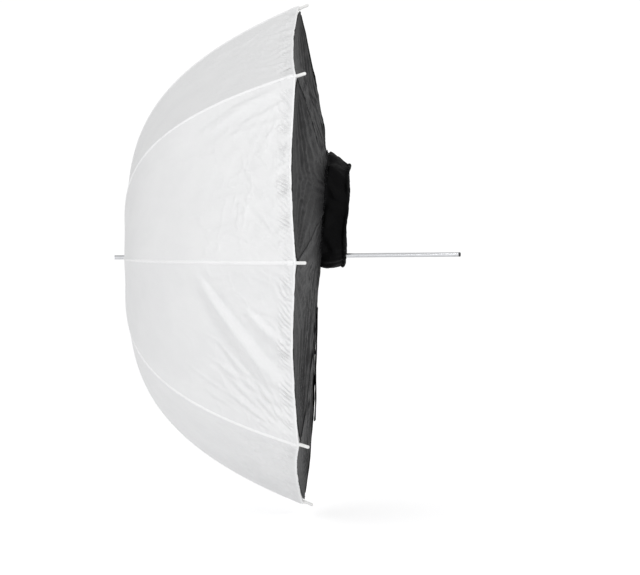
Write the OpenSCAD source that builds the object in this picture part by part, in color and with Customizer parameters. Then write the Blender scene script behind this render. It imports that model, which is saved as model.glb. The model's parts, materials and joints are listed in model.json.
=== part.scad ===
// Deep photo umbrella with a black back cover, a lamp sleeve and a runner that folds its eight ribs.
// The shaft lies along X. The canopy's closed front looks towards -X and the free end of the
// shaft points towards +X. The origin is the centre of the shaft's grip stretch.

/* [Canopy] */
// Distance from the shaft's axis to the hem, measured at a rib
canopy_radius = 460; // [420:5:500]
// Distance along the shaft from the canopy's centre to its hem
canopy_depth = 320; // [280:5:340]
// Power of the curve that each rib follows from the crown to the hem
rib_power = 3.5; // [3:0.1:4]
// Thickness of the canopy cloth with its seams
cloth_thickness = 1; // [0.6:0.1:1.4]
// How far the cloth sinks between two ribs, as a share of its radius
gore_sink = 0.012; // [0:0.002:0.03]
// How far the hem curves in between two ribs
hem_scallop = 3; // [0:1:12]

/* [Shaft] */
// Outside diameter of the shaft tube
shaft_diameter = 8; // [8:0.5:9]
// Wall thickness of the shaft tube
shaft_wall = 0.8; // [0.6:0.1:1.2]
// Length of tube that stands out in front of the canopy
tip_length = 24; // [16:1:40]
// Distance from the canopy's centre to the free end of the shaft
shaft_reach = 616; // [600:1:660]
// Length of bare shaft kept for a clamp, from the stop groove to the plug
grip_length = 82; // [60:2:84]

/* [Ribs] */
// Diameter of the glass-fibre rib rods
rib_diameter = 3.2; // [3:0.2:3.6]
// Depth of the rib's axis below the middle of the cloth
rib_inset = 4.8; // [4.8:0.1:5.4]
// Canopy radius at which each stretcher's clip sits
clip_radius = 230; // [220:5:240]
// Diameter of the cap on each rib's tip
cap_diameter = 6; // [5.6:0.2:6.4]
// How far each cap stands out past the hem
cap_reach = 19; // [14:1:24]

/* [Runner] */
// Distance from the canopy's centre to the runner's ring when the umbrella is open
runner_open = 200; // [196:1:206]
// Radius of the wire ring that carries the stretchers
runner_ring = 12; // [12:0.5:13]
// Length of the runner's barrel behind its ring
runner_barrel = 34; // [30:1:40]

/* [Back cover] */
// Radius of the sleeve where it leaves the back cover
sleeve_root_radius = 103; // [95:1:108]
// Radius of the sleeve's elastic mouth
sleeve_mouth_radius = 92; // [85:1:95]
// Height of the sleeve's root centre above the shaft's axis
sleeve_root_lift = 84; // [80:1:86]
// Height of the sleeve's mouth centre above the shaft's axis
sleeve_mouth_lift = 74; // [72:1:75]
// Length of the sleeve along the shaft
sleeve_length = 42; // [30:1:50]
// Thickness of the cover cloth
cover_thickness = 1; // [0.8:0.1:1.4]
// Length of the hook-and-loop flap below the sleeve
flap_length = 205; // [160:5:220]
// Width of the hook-and-loop flap
flap_width = 28; // [20:1:34]

/* [Hidden] */

rib_count = 8;
rib_step = 360 / rib_count;
half_step = rib_step / 2;
shaft_radius = shaft_diameter / 2;
bore_gap = 0.05;
running_gap = 0.1;

plug_head = 4;
plug_bevel = 1;
plug_stem = 14;
plug_lead = 2;
plug_lead_taper = 0.6;
grip_centre = shaft_reach - plug_bevel - grip_length / 2;
stop_groove_width = 1.6;
stop_groove_depth = 0.3;
collar_front = 5.5;
collar_wall = 1.3;
collar_flange = 3;
collar_flange_front = 1.8;
collar_back = 1;
collar_bevel = 0.5;

crown_ring = 10;
crown_front = 1.2;
crown_back = 10.5;
crown_radius = 14;
crown_neck_radius = 6.5;
crown_neck_back = 22;
crown_slot_floor = 7.2;
crown_web = 0.8;
eye_thickness = 2;
eye_radius = 2.2;
eye_slot = 2.5;
wire_radius = 0.6;
eye_bore = 0.75;
crown_tab = 8;
pin_radius = 1;
crown_pin_x = 17;
crown_pin_sink = 0.2;

clip_drop = 5;
clip_sleeve_radius = 2.6;
clip_length = 11;
clip_gap = 0.25;
lug_thickness = 1.8;
lug_radius = 2;
clip_pin_proud = 0.4;
fork_gap = 2.1;
cheek_thickness = 1;
cheek_radius = 2.2;
cheek_reach = 8;
clip_pin_bore = 1.05;

channel_width = 3.4;
channel_height = 3;
channel_wall = 0.6;
stretcher_tab = 9;
weld = 2;

runner_head_front = 4.5;
runner_head_back = 4.5;
runner_head_radius = 15;
runner_slot_floor = 9;
runner_barrel_radius = 8;
runner_lip_radius = 9;
runner_lip = 3;

catch_width = 1.6;
catch_slot_width = 2;
catch_rise = 2.4;
catch_nose = 12;
catch_blade = 0.8;
catch_length = 30;
catch_curl = 1.4;
catch_gap = 0.5;
catch_bevel = 0.6;
catch_flat = 1;
catch_sink = 1.4;
catch_slot_spare = 3;

cap_radius = cap_diameter / 2;
cap_back = 9;
cap_bore_depth = 14;
cap_groove = 0.5;
cap_groove_half = 2;
cap_groove_floor = 1;
cap_lip = 0.8;
cap_lip_length = 1;

centre_gap = 0.6;
hem_gap = 1.6;
cap_gap = 1.2;
cover_rim_inset = rib_inset + cap_radius + cap_gap;
cover_end_gap = 1.2;
cover_seam_gap = 0.15;
sleeve_start = canopy_depth + 42;
elastic_radius = 1.8;
elastic_gap = 0.4;
flap_rise = 1.4;
flap_thickness = 2.4;
flap_start = 96;

// Points on the rib's curve. A canopy radius r gives [distance along the shaft, radius].
function curve_x(r) = canopy_depth * pow(r / canopy_radius, rib_power);
function curve_slope(r) =
    rib_power * canopy_depth / canopy_radius * pow(r / canopy_radius, rib_power - 1);
function tangent_angle(r) = atan2(1, curve_slope(r));
function inset_point(r, inset) =
    [curve_x(r) + inset * sin(tangent_angle(r)), r - inset * cos(tangent_angle(r))];

rib_root = [rib_inset, crown_ring];
clip_point = inset_point(clip_radius, rib_inset);
clip_pivot = inset_point(clip_radius, rib_inset + clip_drop);
runner_pivot = [runner_open, runner_ring];
rib_tip = inset_point(canopy_radius, rib_inset);
stretcher_span = norm(runner_pivot - clip_pivot);
stretcher_angle = atan2(runner_pivot[1] - clip_pivot[1], runner_pivot[0] - clip_pivot[0]);

// Between two ribs the cloth runs straight across and sinks a little.
function from_mid_gore(angle) = angle - rib_step * floor(angle / rib_step) - half_step;
function mid_gore_share(angle) = 1 - pow(from_mid_gore(angle) / half_step, 2);
function gore_factor(angle) =
    cos(half_step) / cos(from_mid_gore(angle)) * (1 - gore_sink * mid_gore_share(angle));
function around(x, r, angle) = [x, -r * sin(angle), r * cos(angle)];

// Moves a shape drawn from the canopy's centre so that the grip's centre is the origin.
module from_grip() { translate([-grip_centre, 0, 0]) children(); }

// Turns the XZ plane, in which a rib points up, to the plane of rib number i.
module rib_plane(i) { from_grip() rotate([rib_step * (i - 1), 0, 0]) children(); }

// Puts children at [x, r] of a rib plane with their X axis leaning the given angle from the shaft.
module at_point(point, lean = 0) {
    translate([point[0], 0, point[1]]) rotate([0, -lean, 0]) children();
}

// A cylinder along X that starts at x.
module bar(x, length, radius) {
    translate([x, 0, 0]) rotate([0, 90, 0]) cylinder(h = length, r = radius, $fn = 64);
}

// A cylinder across a rib plane, centred on it.
module cross_bar(length, radius) {
    rotate([90, 0, 0]) cylinder(h = length, r = radius, center = true, $fn = 40);
}

// A ring about the shaft with a round section.
module ring(x, ring_radius, section_radius) {
    translate([x, 0, 0]) rotate([0, 90, 0])
        rotate_extrude($fn = 96) translate([ring_radius, 0]) circle(r = section_radius, $fn = 32);
}

// A closed sheet between two grids of points. Each grid is a list of rows of equal length.
// wrap joins the last column to the first.
module sheet(front, back, wrap) {
    rows = len(front);
    cols = len(front[0]);
    steps = wrap ? cols : cols - 1;
    base = rows * cols;
    function at(row, col, side) = side * base + row * cols + col % cols;
    points = [for (grid = [front, back]) for (row = grid) for (p = row) p];
    skins = [for (i = [0 : rows - 2]) for (j = [0 : steps - 1]) for (side = [0, 1])
        let (a = at(i, j, side), b = at(i, j + 1, side),
             c = at(i + 1, j + 1, side), d = at(i + 1, j, side))
        for (face = side == 0 ? [[a, b, c], [a, c, d]] : [[a, c, b], [a, d, c]]) face];
    ends = [for (j = [0 : steps - 1]) for (i = [0, rows - 1])
        let (a = at(i, j, 0), b = at(i, j + 1, 0), c = at(i, j + 1, 1), d = at(i, j, 1))
        for (face = i == 0 ? [[a, c, b], [a, d, c]] : [[a, b, c], [a, c, d]]) face];
    sides = wrap ? [] : [for (i = [0 : rows - 2]) for (j = [0, cols - 1])
        let (a = at(i, j, 0), b = at(i + 1, j, 0), c = at(i + 1, j, 1), d = at(i, j, 1))
        for (face = j == 0 ? [[a, b, c], [a, c, d]] : [[a, c, b], [a, d, c]]) face];
    polyhedron(points, concat(skins, ends, sides), convexity = 8);
}

// The ring rolled into the tube where the grip starts, past the folded runner's place.
module stop_groove() {
    grip_start = shaft_reach - plug_bevel - grip_length;
    difference() {
        bar(grip_start - stop_groove_width, stop_groove_width, shaft_diameter);
        bar(grip_start - 2 * stop_groove_width, 4 * stop_groove_width,
            shaft_radius - stop_groove_depth);
    }
}

module shaft_tube() {
    color("silver") from_grip() difference() {
        bar(-tip_length, tip_length + shaft_reach - plug_head, shaft_radius);
        bar(-tip_length - 1, tip_length + shaft_reach + 2, shaft_radius - shaft_wall);
        translate([runner_open + runner_barrel, -catch_slot_width / 2, 0])
            cube([catch_nose + catch_slot_spare, catch_slot_width, shaft_diameter]);
        stop_groove();
        translate([crown_pin_x, 0, 0]) cross_bar(shaft_diameter + 2, pin_radius + bore_gap);
    }
}

module shaft_plug() {
    stem = shaft_radius - shaft_wall - bore_gap;
    color("dimgray") from_grip() translate([shaft_reach - plug_head, 0, 0]) rotate([0, 90, 0])
        rotate_extrude($fn = 64) polygon([
            [0, -plug_stem], [stem - plug_lead_taper, -plug_stem], [stem, plug_lead - plug_stem],
            [stem, 0], [shaft_radius, 0], [shaft_radius, plug_head - plug_bevel],
            [shaft_radius - plug_bevel, plug_head], [0, plug_head]]);
}

// The collar outside the cloth that clamps the canopy's centre.
module tip_collar() {
    inner = shaft_radius + bore_gap;
    neck = inner + collar_wall;
    flange = inner + collar_flange;
    color("dimgray") from_grip() rotate([0, 90, 0])
        rotate_extrude($fn = 64) polygon([
            [inner, -collar_front], [neck - collar_bevel, -collar_front],
            [neck, collar_bevel - collar_front], [neck, -collar_flange_front - collar_bevel],
            [flange, -collar_flange_front], [flange, -collar_back], [inner, -collar_back]]);
}

// The notched hub that carries the ribs' inner ends on a wire ring.
module crown() {
    color("dimgray") from_grip() difference() {
        union() {
            bar(crown_front, crown_back - crown_front, crown_radius);
            bar(crown_back - 1, crown_neck_back - crown_back + 1, crown_neck_radius);
        }
        bar(0, crown_neck_back + 1, shaft_radius + bore_gap);
        for (i = [0 : rib_count - 1]) rotate([rib_step * i, 0, 0])
            translate([crown_front + crown_web, -eye_slot / 2, crown_slot_floor])
                cube([crown_back, eye_slot, crown_radius]);
        ring(rib_inset, crown_ring, wire_radius + bore_gap);
        translate([crown_pin_x, 0, 0]) cross_bar(2 * crown_radius, pin_radius + bore_gap);
    }
}

module crown_wire() { color("silver") from_grip() ring(rib_inset, crown_ring, wire_radius); }

module crown_pin() {
    color("silver") from_grip() translate([crown_pin_x, 0, 0])
        cross_bar(2 * (crown_neck_radius - crown_pin_sink), pin_radius);
}

// The sliding runner, with a slotted head for the stretchers and a barrel to hold it by.
module runner() {
    head = runner_open - runner_head_front;
    color("dimgray") from_grip() difference() {
        union() {
            bar(head, runner_head_front + runner_head_back, runner_head_radius);
            bar(head, runner_head_front + runner_barrel, runner_barrel_radius);
            bar(runner_open + runner_barrel - runner_lip, runner_lip, runner_lip_radius);
        }
        bar(head - 1, runner_head_front + runner_barrel + 2, shaft_radius + running_gap);
        for (i = [0 : rib_count - 1]) rotate([rib_step * i, 0, 0])
            translate([head - 1, -eye_slot / 2, runner_slot_floor])
                cube([runner_head_front + runner_head_back + 2, eye_slot, runner_head_radius]);
        ring(runner_open, runner_ring, wire_radius + bore_gap);
    }
}

module runner_wire() { color("silver") from_grip() ring(runner_open, runner_ring, wire_radius); }

// The sprung blade in the shaft whose nose holds the runner at the open end. Its far end is
// curled round the line that it bends about.
module catch_spring() {
    nose = runner_open + runner_barrel + catch_gap;
    top = shaft_radius + catch_rise;
    foot = nose + catch_nose;
    end = nose + catch_length;
    color("silver") from_grip() {
        translate([0, catch_width / 2, 0]) rotate([90, 0, 0]) linear_extrude(catch_width) polygon([
            [nose, 0], [nose, top - catch_bevel], [nose + catch_bevel, top],
            [nose + catch_bevel + catch_flat, top], [foot, shaft_radius - catch_sink],
            [foot + catch_slot_width, catch_blade], [end, catch_blade], [end, 0]]);
        translate([end, 0, 0]) cross_bar(catch_width, catch_curl);
    }
}

// A rib in its own plane: a round rod along the curve, with a flat eye at the crown.
module rib(i) {
    start = crown_ring + crown_tab;
    stations = 30;
    sides = 8;
    radii = [for (k = [0 : stations]) start + (canopy_radius - start) * k / stations];
    points = [for (r = radii) for (s = [0 : sides - 1])
        let (p = inset_point(r, rib_inset + rib_diameter / 2 * cos(s * 360 / sides)))
        [p[0], rib_diameter / 2 * sin(s * 360 / sides), p[1]]];
    skins = [for (k = [0 : stations - 1]) for (s = [0 : sides - 1])
        let (a = k * sides + s, b = k * sides + (s + 1) % sides)
        for (face = [[a, b + sides, b], [a, a + sides, b + sides]]) face];
    first = [for (s = [0 : sides - 1]) s];
    last = [for (s = [sides - 1 : -1 : 0]) stations * sides + s];
    color("whitesmoke") rib_plane(i) {
        polyhedron(points, concat(skins, [first, last]), convexity = 4);
        at_point(rib_root, 90) difference() {
            union() {
                cross_bar(eye_thickness, eye_radius);
                translate([0, -eye_thickness / 2, -eye_radius])
                    cube([crown_tab + 1, eye_thickness, 2 * eye_radius]);
            }
            cross_bar(eye_thickness + 1, eye_bore);
        }
    }
}

// The clip round a rib, with a cross pin for the stretcher's fork.
module rib_clip(i) {
    color("dimgray") rib_plane(i) at_point(clip_point, tangent_angle(clip_radius)) {
        difference() {
            union() {
                bar(-clip_length / 2, clip_length, clip_sleeve_radius);
                translate([-lug_radius, -lug_thickness / 2, -clip_drop])
                    cube([2 * lug_radius, lug_thickness, clip_drop]);
                translate([0, 0, -clip_drop]) cross_bar(lug_thickness, lug_radius);
            }
            bar(-clip_length, 2 * clip_length, rib_diameter / 2 + clip_gap);
        }
        translate([0, 0, -clip_drop])
            cross_bar(fork_gap + 2 * (cheek_thickness + clip_pin_proud), pin_radius);
    }
}

// The white cap on a rib's tip, with a groove that holds the hem.
module rib_cap(i) {
    hollow = rib_diameter / 2 + running_gap;
    color("white") rib_plane(i) at_point(rib_tip, tangent_angle(canopy_radius)) rotate([0, 90, 0])
        rotate_extrude($fn = 48) polygon(concat(
            [[hollow, cap_bore_depth - cap_back], [0, cap_bore_depth - cap_back]],
            [for (a = [90 : -15 : 0])
                [cap_radius * cos(a), cap_reach - cap_radius + cap_radius * sin(a)]],
            [[cap_radius, cap_groove_half], [cap_radius - cap_groove, cap_groove_floor],
             [cap_radius - cap_groove, -cap_groove_floor], [cap_radius, -cap_groove_half],
             [cap_radius, cap_lip_length - cap_back], [cap_radius - cap_lip, -cap_back],
             [hollow, -cap_back]]));
}

// A stretcher drawn along X from the clip's pin to the runner's ring.
module stretcher(i) {
    trough = stretcher_span - cheek_reach - stretcher_tab + 2 * weld;
    cheek_y = fork_gap / 2;
    color("silver") rib_plane(i) at_point(clip_pivot, stretcher_angle) difference() {
        union() {
            for (side = [-1, 1]) translate([0, side * (cheek_y + cheek_thickness / 2), 0]) {
                cross_bar(cheek_thickness, cheek_radius);
                translate([0, -cheek_thickness / 2, -channel_height / 2])
                    cube([cheek_reach, cheek_thickness, channel_height]);
            }
            translate([cheek_reach - weld, 0, 0]) rotate([90, 0, 90]) linear_extrude(trough)
                difference() {
                    square([channel_width, channel_height], center = true);
                    translate([0, channel_wall])
                        square([channel_width - 2 * channel_wall, channel_height], center = true);
                }
            translate([stretcher_span - stretcher_tab - weld, -eye_thickness / 2,
                       -channel_height / 2])
                cube([stretcher_tab + weld, eye_thickness, channel_height]);
            translate([stretcher_span, 0, 0]) cross_bar(eye_thickness, eye_radius);
        }
        cross_bar(2 * channel_width, clip_pin_bore);
        translate([stretcher_span, 0, 0]) cross_bar(2 * channel_width, eye_bore);
    }
}

// One closed sheet of cloth over all eight ribs, open at the hem and round the shaft.
module canopy() {
    cols_per_gore = 8;
    rows = 15;
    row_bias = 0.7;
    centre = (shaft_radius + centre_gap) / canopy_radius;
    angles = [for (k = [0 : rib_count * cols_per_gore - 1]) k * rib_step / cols_per_gore];
    function reach(row, angle) =
        centre + (1 - centre - hem_scallop / canopy_radius * mid_gore_share(angle))
            * pow(row / rows, row_bias);
    function cloth(row, angle, inset) =
        let (u = reach(row, angle), p = inset_point(u * canopy_radius, inset))
        around(p[0], p[1] * gore_factor(angle), angle);
    function skin(inset) = [for (row = [0 : rows]) [for (a = angles) cloth(row, a, inset)]];
    color("white") from_grip() sheet(skin(cloth_thickness / 2), skin(-cloth_thickness / 2), true);
}

// Places on the back cover: share 0 is its rim and share 1 is where the sleeve starts.
// The rim follows the canopy's hem and dips under each rib's cap.
function rim_inset(angle) =
    hem_gap + (cover_rim_inset - hem_gap) * pow(1 - mid_gore_share(angle), 4);
function cover_place(share, angle, inset) =
    let (p = inset_point(canopy_radius - hem_scallop * mid_gore_share(angle), rim_inset(angle)),
         rim = around(p[0], p[1] * gore_factor(angle), angle),
         root_radius = sleeve_root_radius + cover_end_gap,
         root = around(sleeve_start - 1, root_radius, angle) + [0, 0, sleeve_root_lift])
    rim + share * (root - rim) + [inset, 0, 0];

// The part of the black cover that hangs from rib number i.
module back_cover(i) {
    cols = 6;
    rows = 5;
    middle = rib_step * (i - 1);
    edge = half_step - cover_seam_gap;
    function skin(inset) = [for (row = [0 : rows]) [for (col = [0 : cols])
        cover_place(row / rows, middle - edge + 2 * edge * col / cols, inset)]];
    color([0.12, 0.12, 0.13]) from_grip()
        sheet(skin(-cover_thickness / 2), skin(cover_thickness / 2), false);
}

// The stretchy sleeve that closes round a lamp. Its hem curls round the elastic at the mouth.
module lamp_sleeve() {
    cols = 48;
    curl = elastic_radius + elastic_gap + cover_thickness / 2;
    curl_start = 90;
    curl_end = 230;
    flange_lean = 75;
    curl_steps = 8;
    // Each path point is [x, radius, height of the ring's centre, direction of the sheet's outside].
    path = concat(
        [[sleeve_start, sleeve_root_radius, sleeve_root_lift, flange_lean]],
        [for (k = [0 : curl_steps]) let (turn = curl_start - curl_end * k / curl_steps)
            [sleeve_start + sleeve_length + curl * cos(turn),
             sleeve_mouth_radius + curl * sin(turn), sleeve_mouth_lift, turn]]);
    function skin(inset) = [for (p = path) [for (col = [0 : cols - 1])
        around(p[0] + inset * cos(p[3]), p[1] + inset * sin(p[3]), col * 360 / cols)
            + [0, 0, p[2]]]];
    color([0.05, 0.05, 0.06]) from_grip()
        sheet(skin(-cover_thickness / 2), skin(cover_thickness / 2), true);
}

module sleeve_elastic() {
    color("dimgray") from_grip() translate([0, 0, sleeve_mouth_lift])
        ring(sleeve_start + sleeve_length, sleeve_mouth_radius, elastic_radius);
}

// The hook-and-loop flap that closes the cover's slit below the sleeve.
module cover_flap() {
    down = 180;
    rim_radius = canopy_radius - cover_rim_inset;
    root_radius = sleeve_root_radius + cover_end_gap - sleeve_root_lift;
    function share_at(radius) = (rim_radius - radius) / (rim_radius - root_radius);
    start = cover_place(share_at(flap_start + flap_length), down, flap_rise);
    end = cover_place(share_at(flap_start), down, flap_rise);
    lean = atan2(end[0] - start[0], end[2] - start[2]);
    color([0.08, 0.08, 0.09]) from_grip() translate(start) rotate([0, lean, 0])
        translate([0, -flap_width / 2, 0]) cube([flap_thickness, flap_width, norm(end - start)]);
}

shaft_tube();
shaft_plug();
tip_collar();
crown();
crown_wire();
crown_pin();
canopy();
runner();
runner_wire();
catch_spring();
lamp_sleeve();
sleeve_elastic();
cover_flap();
for (i = [1 : rib_count]) {
    rib(i);
    rib_clip(i);
    rib_cap(i);
    stretcher(i);
    back_cover(i);
}
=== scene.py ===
"""Looks of a folding photo umbrella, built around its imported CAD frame.

The row frame is in metres: the shaft lies along X, the canopy's closed front looks to -X and rib 1
points up. An angle of 0 is rib 1, and angles grow towards -Y. All cloth is modelled in code.
"""

import json
from math import atan, cos, hypot, pi, radians, sin

import bpy
import numpy as np
from mathutils import Matrix, Vector


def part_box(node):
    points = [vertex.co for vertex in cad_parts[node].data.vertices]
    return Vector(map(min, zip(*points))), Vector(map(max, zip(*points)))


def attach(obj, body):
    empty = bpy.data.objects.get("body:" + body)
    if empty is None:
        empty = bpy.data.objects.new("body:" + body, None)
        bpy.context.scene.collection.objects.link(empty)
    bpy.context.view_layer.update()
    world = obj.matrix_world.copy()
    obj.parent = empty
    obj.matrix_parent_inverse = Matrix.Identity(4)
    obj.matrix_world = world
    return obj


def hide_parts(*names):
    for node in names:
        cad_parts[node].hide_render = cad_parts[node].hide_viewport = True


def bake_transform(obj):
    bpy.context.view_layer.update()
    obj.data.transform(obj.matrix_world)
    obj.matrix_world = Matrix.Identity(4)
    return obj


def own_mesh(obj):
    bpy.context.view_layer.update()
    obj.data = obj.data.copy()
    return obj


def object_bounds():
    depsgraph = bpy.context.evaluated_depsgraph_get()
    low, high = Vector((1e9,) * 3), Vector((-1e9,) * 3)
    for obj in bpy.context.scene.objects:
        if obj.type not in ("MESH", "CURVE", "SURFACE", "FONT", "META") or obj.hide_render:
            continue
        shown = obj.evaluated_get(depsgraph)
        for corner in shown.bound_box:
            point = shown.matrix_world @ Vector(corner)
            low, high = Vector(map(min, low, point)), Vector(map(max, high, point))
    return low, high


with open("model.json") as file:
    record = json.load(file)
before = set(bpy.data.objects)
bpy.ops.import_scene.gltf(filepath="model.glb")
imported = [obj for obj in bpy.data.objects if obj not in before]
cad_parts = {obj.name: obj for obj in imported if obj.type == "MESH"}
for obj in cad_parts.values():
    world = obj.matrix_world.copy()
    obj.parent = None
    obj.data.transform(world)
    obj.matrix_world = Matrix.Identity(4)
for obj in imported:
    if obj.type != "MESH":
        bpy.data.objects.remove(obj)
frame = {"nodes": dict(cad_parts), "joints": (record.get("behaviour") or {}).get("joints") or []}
cad_low, cad_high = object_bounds()

# ---------------- sizes taken from the frame
MM = 0.001
TURN = 2 * pi
X_AXIS = np.array([1.0, 0.0, 0.0])
RIBS = 8
STEP = TURN / RIBS
HALF = STEP / 2
JOINTS = {joint["name"]: joint for joint in frame["joints"]}


def pivot(name):
    """Place of a joint at rest."""
    return np.array(JOINTS[name]["pos_m"], float)


canopy_low, canopy_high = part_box("canopy")
CAD_CLOTH = 1.0 * MM
HUB_X = canopy_low[0] + CAD_CLOTH / 2
RADIUS = canopy_high[2] - CAD_CLOTH / 2
DEPTH = canopy_high[0] - HUB_X - 0.2 * MM
RIB_INSET = pivot("rib_1_fold")[0] - HUB_X
# The rib's curve, the cloth's sink between ribs and the hem's bow, as the CAD has them.
POWER = 3.5
SINK = 0.012
SCALLOP = 3 * MM
CENTRE_HOLE = 5.2 * MM

sleeve_low, sleeve_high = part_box("lamp_sleeve")
elastic_low, elastic_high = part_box("sleeve_elastic")
CORD = (elastic_high[0] - elastic_low[0]) / 2
MOUTH_X = (elastic_low[0] + elastic_high[0]) / 2
MOUTH_RADIUS = elastic_high[1] - CORD
MOUTH_LIFT = (elastic_low[2] + elastic_high[2]) / 2
ROOT_X = sleeve_low[0]
ROOT_RADIUS = sleeve_high[1]
ROOT_LIFT = sleeve_high[2] - sleeve_high[1]

# ---------------- shape of the sheets


def smooth(low, high, value):
    """0 before low, 1 after high, smooth between."""
    t = np.clip((value - low) / (high - low), 0, 1)
    return t * t * (3 - 2 * t)


def curve_x(r):
    """Distance along the shaft from the hub to a rib's cloth line at radius r."""
    return DEPTH * (r / RADIUS) ** POWER


def lean(r):
    """Angle of a rib's tangent from the shaft."""
    return np.arctan2(1, POWER * DEPTH / RADIUS * (r / RADIUS) ** (POWER - 1))


def rib_point(r, inset):
    """(distance along the shaft, radius) of a point under a rib's cloth line."""
    return HUB_X + curve_x(r) + inset * np.sin(lean(r)), r - inset * np.cos(lean(r))


def unit(vectors):
    """The vectors at length 1."""
    return vectors / np.maximum(np.linalg.norm(vectors, axis=-1, keepdims=True), 1e-12)


def off_mid(angle):
    """Angle from the middle of a gore."""
    return np.mod(angle, STEP) - HALF


def sink_share(angle):
    return 1 - (off_mid(angle) / HALF) ** 2


def gore(angle):
    """Share of the radius left between two ribs, where the cloth runs straight and sinks a little."""
    return cos(HALF) / np.cos(off_mid(angle)) * (1 - SINK * sink_share(angle))


def hem_radius(angle):
    """Radius on the ribs' curve at which the hem runs: it bows in between two ribs."""
    return RADIUS - SCALLOP * sink_share(angle)


def around(x, r, angle):
    """Points at a distance along the shaft, a radius and an angle."""
    x, r, angle = np.broadcast_arrays(x, r, angle)
    return np.stack([x, -r * np.sin(angle), r * np.cos(angle)], -1)


def lengths_along(path):
    """Distance of each point from the first, along a path."""
    return np.concatenate([[0], np.cumsum(np.linalg.norm(np.diff(path, axis=0), axis=1))])


_radii = np.linspace(0, RADIUS * 1.05, 800)
_arcs = lengths_along(np.stack([_radii, curve_x(_radii)], 1))


def arc(r):
    """Length of a rib's curve from the hub out to radius r."""
    return np.interp(r, _radii, _arcs)


def radius_at(length):
    """Radius at a distance along a rib's curve: the reverse of arc."""
    return np.interp(length, _arcs, _radii)


RIB_LENGTH = float(arc(RADIUS))


def cell_value(ix, iy, seed):
    """A fixed scrambled value from -1 to 1 for each whole-numbered cell."""
    n = (ix * 374761393 + iy * 668265263 + seed * 144269504) & 0xFFFFFFFF
    n = ((n ^ (n >> 13)) * 1274126177) & 0xFFFFFFFF
    return ((n ^ (n >> 16)) & 0xFFFF) / 32767.5 - 1


def noise(x, y, seed):
    """Smooth noise from -1 to 1 with cells one unit wide."""
    ix, iy = np.floor(x).astype(np.int64), np.floor(y).astype(np.int64)
    fx, fy = x - ix, y - iy
    ux = fx ** 3 * (fx * (6 * fx - 15) + 10)
    uy = fy ** 3 * (fy * (6 * fy - 15) + 10)
    low = cell_value(ix, iy, seed) * (1 - ux) + cell_value(ix + 1, iy, seed) * ux
    high = cell_value(ix, iy + 1, seed) * (1 - ux) + cell_value(ix + 1, iy + 1, seed) * ux
    return low * (1 - uy) + high * uy


def crumple(x, y, seed):
    """Sharp low ridges, as a creased sheet has: 0 in the fields and 1 on a crease."""
    bent_x = x + 0.6 * noise(x * 0.7, y * 0.7, seed + 5)
    bent_y = y + 0.6 * noise(x * 0.7, y * 0.7, seed + 6)
    return (1 - np.abs(noise(bent_x, bent_y, seed))) ** 5


# Folds laid one by one, in millimetres on the cloth: gore number, start (across from the gore's middle,
# along from the hub), end, width and height. Gore 1 lies between ribs 2 and 3.
LAID_FOLDS = [
    (1, -98, 408, -158, 594, 12, 1.7), (1, -98, 432, -146, 574, 9, 1.3), (1, -78, 469, -97, 584, 7, 1.2),
    (1, -95, 497, -133, 594, 7, 1.3), (1, -127, 473, -155, 584, 7, 0.9), (1, -62, 552, -96, 582, 5, 1.0),
    (1, -70, 567, -97, 594, 5, 1.0), (1, -79, 523, -36, 559, 8, 1.0), (1, -12, 497, -13, 564, 7, 0.7),
    (1, 29, 454, 46, 599, 6, 0.8), (1, 72, 429, 118, 523, 5, 0.6), (1, 41, 502, 71, 523, 9, 0.9),
    (1, 66, 536, 124, 594, 9, 1.2),
    (2, -120, 412, 72, 594, 21, 5.0), (2, -80, 512, 0, 600, 14, 3.0), (2, 60, 380, 152, 600, 7, 1.3),
    (2, 100, 420, 152, 588, 6, 1.0), (2, 36, 430, 96, 590, 9, 1.7), (2, 5, 455, 74, 552, 8, 1.6),
    (2, 52, 460, 135, 603, 8, 1.4), (2, -10, 430, 30, 520, 8, 1.0),
    (0, -42, 519, 11, 569, 6, 0.8), (0, -99, 523, -58, 599, 6, 0.8), (0, 38, 514, 102, 599, 6, 0.9),
    (0, 60, 540, 130, 590, 6, 0.8),
    (3, -60, 470, -132, 600, 7, 0.9), (3, -30, 500, -104, 602, 7, 0.9), (3, 0, 530, -70, 602, 6, 0.8),
]
FOLD_DEPTH = 1.9 * MM
DRAWN_GORES = (4, 5, 6, 7)
FOLDS_PER_TIP = 4


def all_folds():
    """The laid folds, with folds of a fixed random draw near the tips of the far gores."""
    draw = np.random.default_rng(11)
    folds = list(LAID_FOLDS)
    for number in DRAWN_GORES:
        for side in (-1, 1):
            for k in range(FOLDS_PER_TIP):
                turn = radians(20 + 14 * k + draw.uniform(-5, 5))
                near, far = 25, draw.uniform(120, 300)
                half, end = 176, 612
                folds.append((number, side * (half - far * sin(turn)), end - far * cos(turn),
                              side * (half - near * sin(turn)), end - near * cos(turn),
                              draw.uniform(7, 15), draw.uniform(0.8, 2.2)))
    return folds


FOLDS = all_folds()
HALF_HEM = RADIUS * sin(HALF)


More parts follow.
